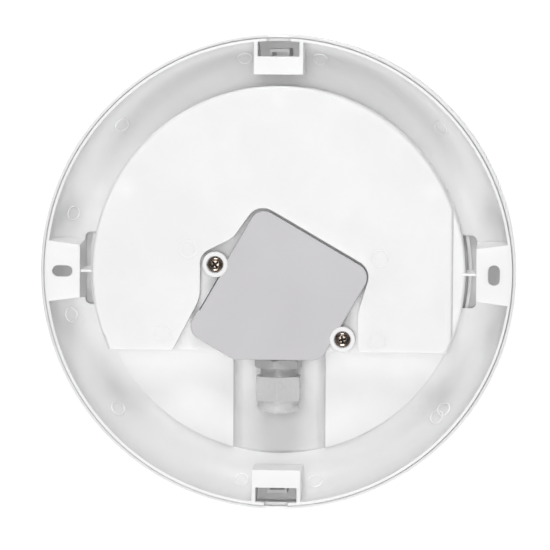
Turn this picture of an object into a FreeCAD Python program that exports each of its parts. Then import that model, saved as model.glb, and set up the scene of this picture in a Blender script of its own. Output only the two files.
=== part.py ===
import FreeCAD, Part
import math
import os
from FreeCAD import Vector

# Round bulkhead light for a soffit or ceiling, seen and mounted from its back.
# +Z points at the ceiling. The origin is the centre of the plane that touches the ceiling.
# +X is the side of the tangential fixing slot, and the cable gland points along -Y.
# All sizes are millimetres, and levels are heights above the ceiling plane, so most are negative.

# Moulded base
rim_radius = 128.0
rim_wall = 1.6
shell_wall = 2.0
band_curve = 22.0
floor_level = -26.0
chamber_step = 4.0
chamber_front = -39.5

# Raised pan over the driver
band_width = 26.0
pan_level = -1.0
pan_front_y = -43.4
pan_side_cut = 6.5
pan_edge = 1.6
pan_corner = 4.0
shelf_step = 0.6
shelf_level = -3.4
platform_level = -25.0

# Recess, well and trough for the junction box and its gland
recess_level = -8.0
recess_gap = 1.4
recess_ear_gap = 1.1
recess_flare = 15.3
recess_side_curve = 21.3
recess_ear_rise = 5.7
recess_bend_drop = 18.5
recess_bend_out = 3.3
recess_bend_v = 17.5
recess_bend_curve = 12.0
recess_right_rise = 14.2
recess_right_flare = 1.4
trough_half = 25.5
trough_level = -31.0
trough_curve = 5.5
well_gap = 0.5

# Bosses
slot_boss_reach = 19.7
slot_boss_half_inner = 14.4
slot_boss_half_outer = 17.0
slot_boss_draft = 2.0
boss_top_wall = 3.0
slot_inset = 10.0
slot_length = 11.0
slot_width = 6.2
clip_boss_reach = 19.8
clip_boss_half = 13.5
clip_pad_inset = 10.0
clip_pocket_half = 11.3
clip_pad_wall = 2.5
notch_half = 6.4
notch_depth = 4.0
notch_corner = 1.6
moat_half = 20.0
moat_corner = 3.0
tie_rib = 1.3
tie_rib_level = -3.0

# Trim ring and its two snap hooks
trim_overhang = 2.0
trim_wall = 1.6
trim_back = -1.0
trim_front = -47.0
trim_lens_gap = 1.1
trim_curve = 18.0
trim_lip = 0.8
hook_half = 5.5
hook_wall = 1.5
hook_inset = 5.8
hook_web = 2.0
hook_depth = 4.0
hook_top = -9.0
barb_height = 3.0
barb_reach = 1.8
catch_inset = 4.8
catch_thick = 3.0
catch_gap = 0.2
trim_rib_count = 16
trim_rib = 1.4
trim_rib_depth = 7.0
trim_rib_gap = 1.2

# Diffuser, its gasket and screws
gasket_thick = 1.0
gasket_overlap = 1.0
gasket_step = 0.6
flange_reach = 8.0
flange_thick = 2.0
lens_step = 1.5
lens_wall = 2.0
lens_skirt_wall = 5.5
lens_shoulder = -50.5
lens_front = -58.0
lens_corner = 4.5
diffuser_screw_count = 8
screw_circle_step = 4.4
diffuser_boss = 3.6
small_screw = 1.5
small_head = 2.8
small_head_height = 1.5
small_screw_length = 8.0
small_hole_gap = 0.2

# Light engine
plate_gap = 4.5
plate_level = -35.0
plate_thick = 1.5
board_inset = 9.5
board_bore = 24.0
board_thick = 1.2
led_size = 3.0
led_height = 0.7
inner_led_count = 12
inner_led_inset = 46.0
outer_led_count = 24
outer_led_inset = 14.0
pillar_inset = 5.5
pillar_radius = 4.6
pillar_angles = (28.0, 90.0, 152.0, 216.0, 324.0)

# Driver in the pan
driver_length = 98.0
driver_gap = 4.904
driver_low = 43.5
driver_height = 25.0
driver_wall = 1.5
driver_corner = 3.0
driver_board_drop = 3.0
driver_board_thick = 1.6
transformer_size = (20.0, 18.0, 15.0)
winding_size = (10.0, 9.0)
winding_step = 1.0
capacitor_x = 24.0
capacitor_radius = 5.0
capacitor_length = 17.0
output_inset = 7.0
output_rise = 3.5
output_pitch = 4.0
output_hole = 8.0
lead_radius = 1.1

# Junction box, turned so that its upper corner leans to the left
box_x = 0.8
box_y = -15.9
box_turn = -30.0
cover_half_u = 36.0
cover_half_v = 40.0
cover_corner = 8.0
cover_cut_y = -47.8
cover_step = 1.0
cover_step_v = -26.0
ear_stand = 4.4
ear_radius = 7.1
cover_level = -1.8
cover_plate = 1.8
cover_edge = 0.7
cover_foot = -4.6
collar_height = 0.5
box_overhang = 1.0
box_wall = 2.2
box_floor = -30.2
seal_inset = 1.7
seal_width = 1.2
seal_thick = 0.8
cover_screw = 1.8
cover_screw_gap = 0.05
cover_hole_gap = 0.3
cover_skirt = 1.0
least_corner = 1.0
cover_screw_length = 18.0
cover_head = 3.45
cover_head_height = 1.7
cross_wing = 1.7
cross_slit = 0.43
cross_depth = 1.2
head_round = 0.55
counterbore = 4.7
head_seat = -3.2
fixing_spots = ((-18.0, 27.0), (24.0, -10.0))
fixing_pad = 5.0
fixing_skin = 0.5

# Terminal block in the box
block_u = 27.0
block_v = 17.0
block_height = 13.0
pole_pitch = 8.4
pole_count = 3
barrel_side = 5.6
barrel_bore = 1.9
barrel_length = 14.0
clamp_screw = 1.4
clamp_spread = 4.0
clamp_hole_gap = 0.6
clamp_screw_length = 4.3
pole_groove = 1.2
pole_groove_depth = 3.2
lead_level = -21.0
lead_spread = 2.1
lead_first_bend = 10.0
lead_pole_step = 4.0
lead_second_bend = 18.0
lead_bend_share = 0.45
lead_entry = 3.0

# Rubber grommet where the leads pass from the box into the pan
grommet_u = -17.0
grommet_waist = 5.0
grommet_flange = 7.0
grommet_flange_thick = 1.5
grommet_bore = 4.2

# M20 cable gland along -Y
gland_level = -16.4
gland_thread = 9.9
gland_hole_gap = 0.3
gland_bore = 6.5
gland_washer = 1.4
gland_flange_flats = 24.0
gland_flange_turn = 7.5
gland_flange_chamfer = 1.2
washer_inset = 0.5
gland_flange = 5.0
gland_neck = 8.0
claw_outer = 8.8
claw_inner = 8.1
claw_length = 8.0
claw_count = 8
claw_slit = 1.6
claw_bore_depth = 5.5
thread_gap = 0.08
seal_bore = 5.0
seal_gap = 0.25
seal_length = 9.5
nut_flats = 23.8
nut_setback = 4.5
nut_hex = 13.5
nut_dome = 6.6
nut_tip = 8.6
nut_mouth = 7.0
nut_end_wall = 2.6
nut_cone = 3.0
nut_chamfer = 0.8
nut_nose = 4.6
nut_nose_step = 0.5
nut_bulge = 1.0
locknut_flats = 23.0
locknut_thick = 5.0
locknut_turn = 30.0
locknut_chamfer = 1.0
gland_tail = 8.0

# Values that follow from the sizes above
rim_inner = rim_radius - rim_wall
pan_radius = rim_radius - band_width
chamber_radius = pan_radius + chamber_step
pan_side_x = pan_radius - pan_side_cut
shelf_radius = pan_radius + shelf_step
platform_radius = pan_radius
slot_boss_inner = rim_radius - slot_boss_reach
slot_radius = rim_radius - slot_inset
clip_boss_inner = rim_radius - clip_boss_reach
clip_pad_outer = rim_radius - clip_pad_inset
trim_radius = rim_radius + trim_overhang
hook_outer = rim_radius - hook_inset
hook_back = hook_outer - hook_depth
catch_outer = hook_outer - catch_inset
gasket_outer = chamber_radius + gasket_step
flange_radius = chamber_radius + flange_reach
lens_radius = chamber_radius + lens_step
trim_inner = lens_radius + trim_lens_gap
diffuser_screw_circle = chamber_radius + screw_circle_step
outer_curve = band_curve + (rim_wall + shell_wall) / 2
floor_under = floor_level - shell_wall
trough_under = trough_level - shell_wall
chamber_inner = chamber_radius - shell_wall
gasket_inner = chamber_inner - gasket_overlap
plate_radius = chamber_inner - plate_gap
board_radius = plate_radius - board_inset
pillar_circle = plate_radius - pillar_inset
led_rings = ((inner_led_count, board_radius - inner_led_inset),
             (outer_led_count, board_radius - outer_led_inset))
flange_back = chamber_front - gasket_thick
flange_front = flange_back - flange_thick
ear_offset = cover_half_u + ear_stand
inner_inset = box_overhang + box_wall
box_inside = box_floor + shell_wall
cut = 1.0
turn_cos = math.cos(math.radians(box_turn))
turn_sin = math.sin(math.radians(box_turn))
gland_wall_y = cover_cut_y + box_overhang
flange_back_y = gland_wall_y - gland_washer
flange_front_y = flange_back_y - gland_flange
nut_back_y = flange_front_y - nut_setback
neck_end_y = flange_front_y - gland_neck
claw_end_y = neck_end_y - claw_length
nut_shoulder_y = nut_back_y - nut_hex
nut_front_y = nut_shoulder_y - nut_dome
plate_front = plate_level - plate_thick
board_front = plate_front - board_thick
driver_reach = pan_radius - shell_wall - driver_gap
driver_high = math.sqrt(driver_reach ** 2 - (driver_length / 2) ** 2)
driver_width = driver_high - driver_low
driver_y = driver_low + driver_width / 2
output_y = driver_y + output_rise
output_x = output_inset - driver_length / 2
driver_back = pan_level - shell_wall
driver_front = driver_back - driver_height
driver_board_back = driver_front + driver_board_drop + driver_board_thick


# Drawing helpers

def corner_edges(corners, place):
    """Edges of a closed outline with one radius per corner; place maps two numbers to a point."""
    count = len(corners)
    trims = []
    for i in range(count):
        here = place(corners[i][0], corners[i][1])
        back = place(corners[i - 1][0], corners[i - 1][1]) - here
        ahead = place(corners[(i + 1) % count][0], corners[(i + 1) % count][1]) - here
        radius = corners[i][2]
        if radius <= 0:
            trims.append((here, here, here))
            continue
        back.normalize()
        ahead.normalize()
        half = back.getAngle(ahead) / 2
        reach = radius / math.tan(half)
        middle = back + ahead
        middle.normalize()
        bulge = radius / math.sin(half) - radius
        trims.append((here + back * reach, here + middle * bulge, here + ahead * reach))
    edges = []
    for i in range(count):
        start, middle, end = trims[i]
        if start.distanceToPoint(end) > 1e-6:
            edges.append(Part.Arc(start, middle, end).toShape())
        following = trims[(i + 1) % count][0]
        if end.distanceToPoint(following) > 1e-6:
            edges.append(Part.makeLine(end, following))
    return edges


def outline(corners, place):
    return Part.Wire(corner_edges(corners, place))


def prism(corners, low, high):
    """Upright prism on an outline in plan."""
    face = Part.Face(outline(corners, lambda a, b: Vector(a, b, low)))
    return face.extrude(Vector(0, 0, high - low))


def turned(corners):
    """Solid turned about the lamp's axis from an outline of radius and level."""
    face = Part.Face(outline(corners, lambda a, b: Vector(a, 0, b)))
    return face.revolve(Vector(0, 0, 0), Vector(0, 0, 1), 360)


def disc(radius, low, high, x=0.0, y=0.0):
    return Part.makeCylinder(radius, high - low, Vector(x, y, low))


def tube(outer, inner, low, high, x=0.0, y=0.0):
    return disc(outer, low, high, x, y).cut(disc(inner, low - cut, high + cut, x, y))


def block(x_low, x_high, y_low, y_high, low, high):
    return Part.makeBox(x_high - x_low, y_high - y_low, high - low, Vector(x_low, y_low, low))


def spun(shape, angle):
    """Copy of a shape turned about the lamp's axis."""
    copy = shape.copy()
    copy.rotate(Vector(0, 0, 0), Vector(0, 0, 1), angle)
    return copy


def around(radius, angle):
    return radius * math.cos(math.radians(angle)), radius * math.sin(math.radians(angle))


def joined(shapes):
    solid = shapes[0]
    for extra in shapes[1:]:
        solid = solid.fuse(extra)
    return solid.removeSplitter()


def top_edges(shape, level):
    return [e for e in shape.Edges if all(abs(v.Z - level) < 1e-5 for v in e.Vertexes)]


def upright_edges(shape):
    return [e for e in shape.Edges
            if len(e.Vertexes) == 2 and abs(e.Vertexes[0].Z - e.Vertexes[1].Z) > 1
            and abs(e.Vertexes[0].X - e.Vertexes[1].X) < 1e-6]


# Places in the junction box's own directions, u and v

def box_point(u, v):
    return box_x + u * turn_cos - v * turn_sin, box_y + u * turn_sin + v * turn_cos


def box_meets_cut(u, inset, along_v):
    """Where a side of the box, u or v held, meets its straight lower edge."""
    level = cover_cut_y + inset
    if along_v:
        v = (level - box_y - u * turn_sin) / turn_cos
        return box_point(u, v)
    reach = (level - box_y - u * turn_cos) / turn_sin
    return box_point(reach, u)


def box_corners(inset):
    """The junction box's outline, pulled in by inset."""
    u = cover_half_u - inset
    v = cover_half_v - inset
    radius = max(cover_corner - inset, least_corner)
    lower_right = box_meets_cut(u, inset, True)
    lower_left = box_meets_cut(-v, inset, False)
    plan = [box_point(-u, v), box_point(u, v), lower_right, lower_left, box_point(-u, -v)]
    return [(x, y, radius) for x, y in plan]


def ear_centres():
    return [box_point(-ear_offset, 0), box_point(ear_offset, 0)]


def box_prism(inset, ear, low, high):
    """Prism on the box's outline with an ear of the given radius at each end."""
    shapes = [prism(box_corners(inset), low, high)]
    for x, y in ear_centres():
        shapes.append(disc(ear, low, high, x, y))
    return joined(shapes)


def along_v(radius, u, v_low, v_high, level):
    """Cylinder that runs along the box's v direction."""
    x, y = box_point(u, v_low)
    return Part.makeCylinder(radius, v_high - v_low, Vector(x, y, level),
                             Vector(-turn_sin, turn_cos, 0))


def box_block(u_low, u_high, v_low, v_high, low, high):
    """Block whose sides follow the box's directions."""
    plan = [box_point(u_low, v_low), box_point(u_high, v_low),
            box_point(u_high, v_high), box_point(u_low, v_high)]
    return prism([(x, y, 0) for x, y in plan], low, high)


# Moulded base

def dish(inner=True):
    """The turned bowl of the base, or with inner false the whole space under the ceiling plane."""
    outside = [(rim_radius, 0, 0), (rim_radius, floor_under, outer_curve), (0, floor_under, 0)]
    if not inner:
        return turned([(0, 0, 0)] + outside)
    inside = [(0, floor_level, 0), (rim_inner, floor_level, band_curve), (rim_inner, 0, 0)]
    return turned(inside + outside)


def pan_blank(radius, side_x, front_y, low, high):
    reach = radius + cut
    window = block(-reach, side_x, front_y, reach, low, high)
    return disc(radius, low, high).common(window)


def pan():
    """Raised D-shaped pan with softened edges and a lower shelf beyond its right chord."""
    blank = pan_blank(pan_radius, pan_side_x, pan_front_y, floor_under, pan_level)
    corners = [e for e in upright_edges(blank) if e.Vertexes[0].Y < 0 and e.Vertexes[0].X > 0
               and e.Vertexes[0].Y < pan_front_y + 1]
    blank = blank.makeFillet(pan_corner, corners)
    blank = blank.makeFillet(pan_edge, top_edges(blank, pan_level))
    reach = shelf_radius + cut
    window = block(pan_side_x - pan_corner, reach, pan_front_y, reach, floor_under, shelf_level)
    shelf = disc(shelf_radius, floor_under, shelf_level).common(window)
    shelf = shelf.makeFillet(pan_edge, [e for e in top_edges(shelf, shelf_level)
                                        if e.Curve.TypeId == "Part::GeomCircle"])
    return joined([blank, shelf])


def pan_hollow():
    """The driver space, open to the front, clear of the recess and the box's well."""
    radius = pan_radius - shell_wall
    low = floor_under - cut
    space = pan_blank(radius, pan_side_x - shell_wall, pan_front_y + shell_wall, low,
                      pan_level - shell_wall)
    beside = pan_blank(radius, radius, pan_front_y + shell_wall, low, shelf_level - shell_wall)
    space = space.fuse(beside)
    space = space.cut(prism(recess_corners(shell_wall), recess_level - shell_wall, cut))
    return space.cut(well(shell_wall, low - cut, cut))


def recess_corners(grown):
    """Outline of the recess round the junction box, let out by grown."""
    left_x, left_y = ear_centres()[0]
    right_x, right_y = ear_centres()[1]
    gap = recess_gap + grown
    ear_side = ear_radius + recess_ear_gap + grown
    radius = cover_corner + gap
    front = pan_front_y - 2 * shell_wall
    left_side = left_x - ear_side
    bend_y = left_y - recess_bend_drop
    flare = recess_flare * (bend_y - front) / (bend_y - pan_front_y)
    apex = box_point(-cover_half_u - recess_ear_gap - grown, cover_half_v + gap)
    bend = box_point(-cover_half_u - recess_bend_out - grown, recess_bend_v)
    right = box_point(cover_half_u - gap, cover_half_v + gap)
    right_side = right_x + ear_side
    return [
        (left_side - flare, front, 0),
        (left_side, bend_y, recess_side_curve),
        (left_side, left_y + recess_ear_rise, ear_side),
        (bend[0], bend[1], recess_bend_curve),
        (apex[0], apex[1], radius),
        (right[0] + grown, right[1] + grown / 2, radius),
        (right_side, right_y + recess_right_rise, recess_side_curve),
        (right_side, right_y, recess_side_curve),
        (right_side + recess_right_flare, front, 0),
    ]


def well(grown, low, high):
    """Space that the junction box stands in, let out by grown."""
    inset = box_overhang - well_gap - grown
    return box_prism(inset, ear_radius - inset, low, high)


def trough(grown):
    """U-shaped channel for the gland and its cable, let out by grown."""
    half = trough_half + grown
    level = trough_level - grown
    curve = trough_curve + grown
    section = [(-half, cut, 0), (-half, level, curve), (half, level, curve), (half, cut, 0)]
    start = -platform_radius - 2 * shell_wall
    face = Part.Face(outline(section, lambda a, b: Vector(a, start, b)))
    channel = face.extrude(Vector(0, pan_front_y - start, 0))
    return channel.common(disc(platform_radius + grown, level - cut, 2 * cut))


def slot_boss(shrink, low, high):
    """Drafted boss on the +X side; shrink pulls all its sides in."""
    outer = rim_radius - shrink
    inner = slot_boss_inner + shrink
    top = [(inner, -slot_boss_half_inner + shrink, 0), (outer, -slot_boss_half_outer + shrink, 0),
           (outer, slot_boss_half_outer - shrink, 0), (inner, slot_boss_half_inner - shrink, 0)]
    foot = [(x, y + math.copysign(slot_boss_draft, y), 0) for x, y, r in top]
    wires = [outline(foot, lambda a, b: Vector(a, b, low)),
             outline(top, lambda a, b: Vector(a, b, high))]
    return Part.makeLoft(wires, True, True)


def slot(tangential):
    """Fixing slot through the boss on the +X side, with round ends."""
    low = -boss_top_wall - cut
    reach = (slot_length - slot_width) / 2
    reach_x, reach_y = (0, reach) if tangential else (reach, 0)
    half_x, half_y = (slot_width / 2, reach) if tangential else (reach, slot_width / 2)
    parts = [block(slot_radius - half_x, slot_radius + half_x, -half_y, half_y, low, cut)]
    for side in (-1, 1):
        parts.append(disc(slot_width / 2, low, cut, slot_radius + side * reach_x, side * reach_y))
    return joined(parts)


def moat(grown, high):
    """Deep gap between the pan's wall and a slotted boss on the +X side, let out by grown."""
    half = moat_half + grown
    corner = moat_corner + grown
    start = pan_radius - 2 * shell_wall
    plan = [(start, -half, 0), (slot_boss_inner + grown, -half, corner),
            (slot_boss_inner + grown, half, corner), (start, half, 0)]
    low = trough_level - grown
    return prism(plan, low, high).cut(disc(pan_radius - grown, low - cut, high + cut))


def clip_boss():
    """Block on the +X side that carries the pad over a trim hook."""
    return block(clip_boss_inner, rim_radius, -clip_boss_half, clip_boss_half, floor_under, 0)


def clip_pocket():
    """Space under the pad and out to the rim on the +X side, open to the front."""
    inner = clip_boss_inner + shell_wall
    half = clip_pocket_half
    low = floor_under - cut
    under = block(inner, rim_inner, -half, half, low, -clip_pad_wall)
    mouth = block(clip_pad_outer, rim_inner, -half, half, low, cut)
    return under.fuse(mouth).common(disc(rim_inner, low - cut, 2 * cut))


def clip_catch():
    """Shelf that the trim hook's barb rests on, on the +X side."""
    top = hook_top - barb_height - catch_gap
    return block(clip_boss_inner + shell_wall / 2, catch_outer, -clip_pocket_half - cut,
                 clip_pocket_half + cut, top - catch_thick, top)


def rim_notch():
    """Notch through the rim on the +X side, for a blade that presses the hook in."""
    section = [(-notch_half, cut, 0), (-notch_half, -notch_depth, notch_corner),
               (notch_half, -notch_depth, notch_corner), (notch_half, cut, 0)]
    face = Part.Face(outline(section, lambda a, b: Vector(clip_pad_outer, a, b)))
    return face.extrude(Vector(rim_radius + cut - clip_pad_outer, 0, 0))


def pillars():
    """Posts that carry the light engine, and the screw bosses for the diffuser."""
    posts = []
    for angle in pillar_angles:
        x, y = around(pillar_circle, angle)
        back = driver_back if y > pan_front_y else floor_level
        posts.append(disc(pillar_radius, plate_level, back + shell_wall / 2, x, y))
    for i in range(diffuser_screw_count):
        x, y = around(diffuser_screw_circle, (i + 0.5) * 360 / diffuser_screw_count)
        posts.append(disc(diffuser_boss, flange_back, floor_level - shell_wall / 2, x, y))
    return posts


def screw_holes():
    """Pilot holes in the posts and bosses of the base."""
    holes = []
    for angle in pillar_angles:
        x, y = around(pillar_circle, angle)
        holes.append(disc(small_screw, plate_level - cut, plate_level + small_screw_length, x, y))
    for i in range(diffuser_screw_count):
        x, y = around(diffuser_screw_circle, (i + 0.5) * 360 / diffuser_screw_count)
        holes.append(disc(small_screw, flange_back - cut, flange_back + small_screw_length, x, y))
    for u, v in fixing_spots:
        x, y = box_point(u, v)
        holes.append(disc(small_screw, trough_under + fixing_skin, box_floor + cut, x, y))
    return holes


def base_housing():
    whole = dish(inner=False)
    body = dish()
    slot_sides = (0, 180)
    clip_sides = (90, 270)
    body = joined([body] + [spun(moat(shell_wall, floor_level), a) for a in slot_sides])
    for angle in slot_sides:
        body = body.cut(spun(moat(0, platform_level), angle))
    platform = disc(platform_radius, floor_level - shell_wall / 2, platform_level)
    platform = platform.common(block(-platform_radius, platform_radius, -platform_radius,
                                     pan_front_y, floor_under, 0))
    sunk = joined([trough(shell_wall), well(shell_wall, trough_under, floor_level)])
    sunk = sunk.common(disc(rim_radius, trough_under, floor_level))
    chamber = tube(chamber_radius, chamber_inner, chamber_front, floor_level - shell_wall / 2)
    added = [platform, pan(), sunk, chamber]
    for angle in slot_sides:
        added.append(spun(slot_boss(0, floor_under, 0), angle).common(whole))
        rib = block(pan_radius - pan_edge, slot_boss_inner + shell_wall, -tie_rib / 2, tie_rib / 2,
                    trough_level - shell_wall / 2, tie_rib_level)
        added.append(spun(rib, angle))
    for angle in clip_sides:
        added.append(spun(clip_boss(), angle).common(whole))
    body = joined([body] + added)
    body = body.cut(pan_hollow())
    body = body.cut(prism(recess_corners(0), recess_level, cut))
    body = body.cut(well(0, trough_level, cut))
    body = body.cut(trough(0))
    for angle in slot_sides:
        hollow = slot_boss(shell_wall, floor_under - 3 * cut, -boss_top_wall)
        hollow = hollow.common(disc(rim_inner, floor_under - 4 * cut, 0))
        body = body.cut(spun(hollow, angle))
        body = body.cut(spun(slot(angle == 0), angle))
    for angle in clip_sides:
        body = body.cut(spun(clip_pocket(), angle))
        body = body.cut(spun(rim_notch(), angle))
    pads = [disc(fixing_pad, trough_level - shell_wall / 2, box_floor, *box_point(u, v))
            for u, v in fixing_spots]
    body = joined([body] + [spun(clip_catch(), a) for a in clip_sides] + pads + pillars())
    for hole in screw_holes():
        body = body.cut(hole)
    grommet_v = cover_half_v - box_overhang
    body = body.cut(along_v(grommet_waist, grommet_u, grommet_v - cut, grommet_v + 4 * shell_wall,
                            lead_level))
    return body.removeSplitter()


# Trim ring

def trim_profile(inset, lip):
    """Turned section of the trim's outside, pulled in by inset."""
    radius = trim_radius - inset
    front = trim_front + inset
    return [(radius, trim_back + lip, 0), (radius, front, trim_curve - inset), (trim_inner, front, 0)]


def trim_ring():
    outside = trim_profile(0, 0)
    inside = trim_profile(trim_wall, 0)
    lip_top = trim_front + trim_lip + trim_wall
    edge = trim_inner + trim_wall
    inside[2] = (edge, trim_front + trim_wall, 0)
    section = outside + [(trim_inner, lip_top, 0), (edge, lip_top, 0)] + inside[::-1]
    ring = turned(section)
    filled = turned([(trim_inner, trim_back, 0)] + trim_profile(trim_wall / 2, 0))
    extras = []
    rib_inner = trim_radius - trim_wall - trim_rib_depth
    rib_top = trim_front + trim_curve
    rib_foot = flange_radius + trim_rib_gap
    core = turned([(0, rib_top, 0), (rib_inner, rib_top, 0), (rib_foot, trim_front + trim_rib_depth, 0),
                   (rib_foot, trim_front - cut, 0), (0, trim_front - cut, 0)])
    for i in range(trim_rib_count):
        rib = block(flange_radius, trim_radius, -trim_rib / 2, trim_rib / 2, trim_front, rib_top)
        extras.append(spun(rib, (i + 0.5) * 360 / trim_rib_count).common(filled).cut(core))
    for angle in (90, 270):
        extras.append(spun(snap_hook(), angle).common(filled))
    return joined([ring] + extras)


def snap_hook():
    """Channel-shaped spring arm on the +X side, with a barb that points inward."""
    arm = block(hook_back, hook_outer, -hook_half, hook_half, trim_front, hook_top)
    groove = block(hook_back - cut, hook_outer - hook_web, -hook_half + hook_wall,
                   hook_half - hook_wall, trim_front, hook_top + cut)
    nose = catch_outer - barb_reach
    foot = hook_top - barb_height
    section = [(hook_outer, foot, 0), (nose, foot, 0), (nose, foot + barb_height / 3, 0),
               (hook_back, hook_top, 0), (hook_outer, hook_top, 0)]
    face = Part.Face(outline(section, lambda a, b: Vector(a, -hook_half, b)))
    barb = face.extrude(Vector(0, 2 * hook_half, 0))
    return arm.fuse(barb).cut(groove)


# Diffuser and light engine

def crown_arc(radius, edge_level, crown_level):
    """Arc of a shallow dome from its edge to its crown, square to the lamp's axis there."""
    rise = edge_level - crown_level
    sphere = (radius ** 2 + rise ** 2) / (2 * rise)
    halfway = crown_level + sphere - math.sqrt(sphere ** 2 - radius ** 2 / 4)
    return Part.Arc(Vector(radius, 0, edge_level), Vector(radius / 2, 0, halfway),
                    Vector(0, 0, crown_level)).toShape()


def diffuser():
    """Opal dome with a flat flange that the trim hides."""
    bore = lens_radius - lens_skirt_wall
    inner_level = lens_shoulder + lens_wall / 2
    points = [Vector(bore, 0, inner_level), Vector(bore, 0, flange_back),
              Vector(flange_radius, 0, flange_back), Vector(flange_radius, 0, flange_front),
              Vector(lens_radius, 0, flange_front), Vector(lens_radius, 0, lens_shoulder)]
    sides = [Part.makeLine(a, b) for a, b in zip(points, points[1:])]
    axis = Part.makeLine(Vector(0, 0, lens_front), Vector(0, 0, lens_front + lens_wall))
    face = Part.Face(Part.Wire([crown_arc(lens_radius, lens_shoulder, lens_front), axis,
                                crown_arc(bore, inner_level, lens_front + lens_wall)] + sides))
    solid = face.revolve(Vector(0, 0, 0), Vector(0, 0, 1), 360)
    solid = solid.makeFillet(lens_corner, top_edges(solid, lens_shoulder))
    for i in range(diffuser_screw_count):
        x, y = around(diffuser_screw_circle, (i + 0.5) * 360 / diffuser_screw_count)
        solid = solid.cut(disc(small_screw + small_hole_gap, flange_front - cut, flange_back + cut,
                               x, y))
    return solid


def headed_screw(x, y, seat, length, shank, head, head_height, down=True):
    """Screw along Z whose head seats at a level; down means its tip points at the front."""
    sign = -1 if down else 1
    tip = seat + sign * length
    crown = seat - sign * head_height
    stem = disc(shank, min(seat, tip), max(seat, tip), x, y)
    cap = disc(head, min(seat, crown), max(seat, crown), x, y)
    return stem.fuse(cap).removeSplitter()


def diffuser_screws():
    group = []
    for i in range(diffuser_screw_count):
        x, y = around(diffuser_screw_circle, (i + 0.5) * 360 / diffuser_screw_count)
        group.append(headed_screw(x, y, flange_front, small_screw_length, small_screw, small_head,
                                  small_head_height, down=False))
    return Part.makeCompound(group)


def led_plate():
    plate = disc(plate_radius, plate_front, plate_level)
    for angle in pillar_angles:
        x, y = around(pillar_circle, angle)
        plate = plate.cut(disc(small_screw + small_hole_gap, plate_front - cut, plate_level + cut, x, y))
    return plate.cut(disc(output_hole, plate_front - cut, plate_level + cut, output_x, output_y))


def led_plate_screws():
    group = []
    for angle in pillar_angles:
        x, y = around(pillar_circle, angle)
        group.append(headed_screw(x, y, plate_front, small_screw_length, small_screw, small_head,
                                  small_head_height, down=False))
    return Part.makeCompound(group)


def led_board():
    board = tube(board_radius, board_bore, board_front, plate_front)
    for sign in (-1, 1):
        x = output_x + sign * output_pitch / 2
        board = board.cut(disc(lead_radius, board_front - cut, plate_front + cut, x, output_y))
    return board


def leds():
    group = []
    half = led_size / 2
    for count, radius in led_rings:
        for i in range(count):
            chip = block(radius - half, radius + half, -half, half, board_front - led_height,
                         board_front)
            group.append(spun(chip, (i + 0.5) * 360 / count))
    return Part.makeCompound(group)


# Driver

def driver_frame(inset, low, high):
    half = driver_length / 2 - inset
    side = driver_width / 2 - inset
    corner = max(driver_corner - inset, least_corner)
    return prism([(-half, driver_y - side, corner), (half, driver_y - side, corner),
                  (half, driver_y + side, corner), (-half, driver_y + side, corner)], low, high)


def driver_tray():
    """Open-fronted insulating tray that hangs under the pan."""
    tray = driver_frame(0, driver_front, driver_back)
    tray = tray.cut(driver_frame(driver_wall, driver_front - cut, driver_back - driver_wall))
    start = cover_half_v + shell_wall
    return tray.cut(along_v(grommet_bore, grommet_u, start, start + driver_width, lead_level))


def driver_board():
    return driver_frame(driver_wall, driver_board_back - driver_board_thick, driver_board_back)


def driver_transformer():
    """Wound bobbin through its ferrite core, one solid."""
    half_x, half_y = transformer_size[0] / 2, transformer_size[1] / 2
    wound_x, core_y = winding_size[0] / 2, winding_size[1] / 2
    low = driver_board_back
    high = low + transformer_size[2]
    core = block(-half_x, half_x, driver_y - core_y, driver_y + core_y, low + winding_step, high)
    bobbin = block(-wound_x, wound_x, driver_y - half_y, driver_y + half_y, low,
                   high - winding_step)
    return joined([core, bobbin])


def driver_capacitors():
    group = []
    for x in (-capacitor_x, capacitor_x):
        group.append(disc(capacitor_radius, driver_board_back, driver_board_back + capacitor_length,
                          x, driver_y + capacitor_radius))
    return Part.makeCompound(group)


def driver_cover():
    cover = driver_frame(0, driver_front - driver_wall, driver_front)
    for sign in (-1, 1):
        x = output_x + sign * output_pitch / 2
        cover = cover.cut(disc(lead_radius, driver_front - 2 * driver_wall, driver_front + cut, x,
                               output_y))
    return cover


def led_leads():
    group = []
    for sign in (-1, 1):
        x = output_x + sign * output_pitch / 2
        group.append(disc(lead_radius, board_front, driver_board_back - driver_board_thick, x,
                          output_y))
    return Part.makeCompound(group)


# Junction box

def cover_corners():
    """Cover outline; between the left ear and the step its edge stands back a little."""
    corners = box_corners(0)
    back = cover_half_u - cover_step
    notch = [box_point(-cover_half_u, cover_step_v), box_point(-back, cover_step_v),
             box_point(-back, 0), box_point(-cover_half_u, 0)]
    return corners + [(x, y, 0) for x, y in notch]


def junction_box_cover():
    plate = prism(cover_corners(), cover_foot, cover_level)
    plate = plate.makeFillet(cover_edge, top_edges(plate, cover_level))
    crown = cover_level + collar_height
    ears = []
    for x, y in ear_centres():
        ear = disc(ear_radius, cover_foot, crown, x, y)
        ears.append(ear.makeFillet(cover_edge, top_edges(ear, crown)))
    cover = joined([plate] + ears)
    cover = cover.cut(prism(box_corners(inner_inset + cover_skirt), cover_foot - cut,
                            cover_level - cover_plate))
    cover = cover.cut(seal_loop(cover_foot - cut))
    for x, y in ear_centres():
        cover = cover.cut(disc(counterbore, head_seat, crown + cut, x, y))
        cover = cover.cut(disc(cover_screw + cover_hole_gap, cover_foot - cut, head_seat + cut, x, y))
    return cover.removeSplitter()


def seal_loop(low):
    outer = prism(box_corners(seal_inset), low, cover_foot + seal_thick)
    return outer.cut(prism(box_corners(seal_inset + seal_width), low - cut,
                           cover_foot + seal_thick + cut))


def cover_gasket():
    return seal_loop(cover_foot)


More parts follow.
